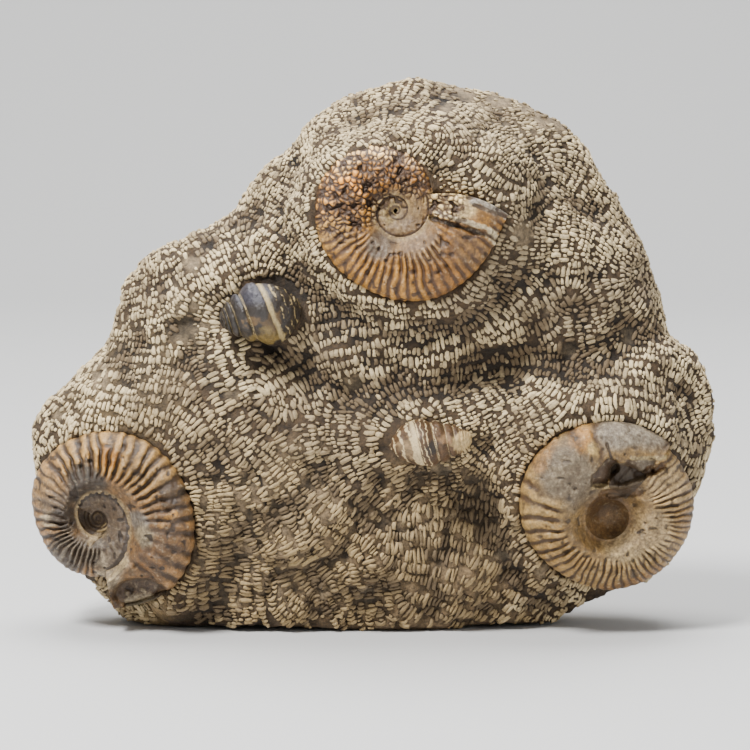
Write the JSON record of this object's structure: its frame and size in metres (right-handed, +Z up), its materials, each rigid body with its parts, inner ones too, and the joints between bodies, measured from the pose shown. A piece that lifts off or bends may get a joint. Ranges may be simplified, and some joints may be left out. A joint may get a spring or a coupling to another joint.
{
  "type": "ammonite fossil plate",
  "caption": "Lumpy limestone nodule that stands upright, with ribbed ammonites and small sea snails left proud of its chiselled face.",
  "frame": {"origin": "below the middle of the whole piece, on the surface that it stands on", "axes": "+Z up, the face with the fossils towards -Y, +X to the right as seen from the front"},
  "size_m": [0.327, 0.1242, 0.262],
  "materials": {
    "limestone": "matt grey-brown rock with cream chisel marks",
    "tan_shell": "satin tan calcite with orange stains",
    "brown_shell": "satin brown calcite with tan ribs",
    "cream_shell": "matt cream and grey calcite",
    "dark_snail_shell": "satin near-black shell with cream lines",
    "brown_snail_shell": "satin brown shell with cream bands"
  },
  "bodies": {
    "root": {"matrix": "limestone", "ammonite_top": "tan_shell", "ammonite_left": "brown_shell", "ammonite_right": "cream_shell", "snail_left": "dark_snail_shell", "snail_middle": "brown_snail_shell"}
  },
  "joints": []
}
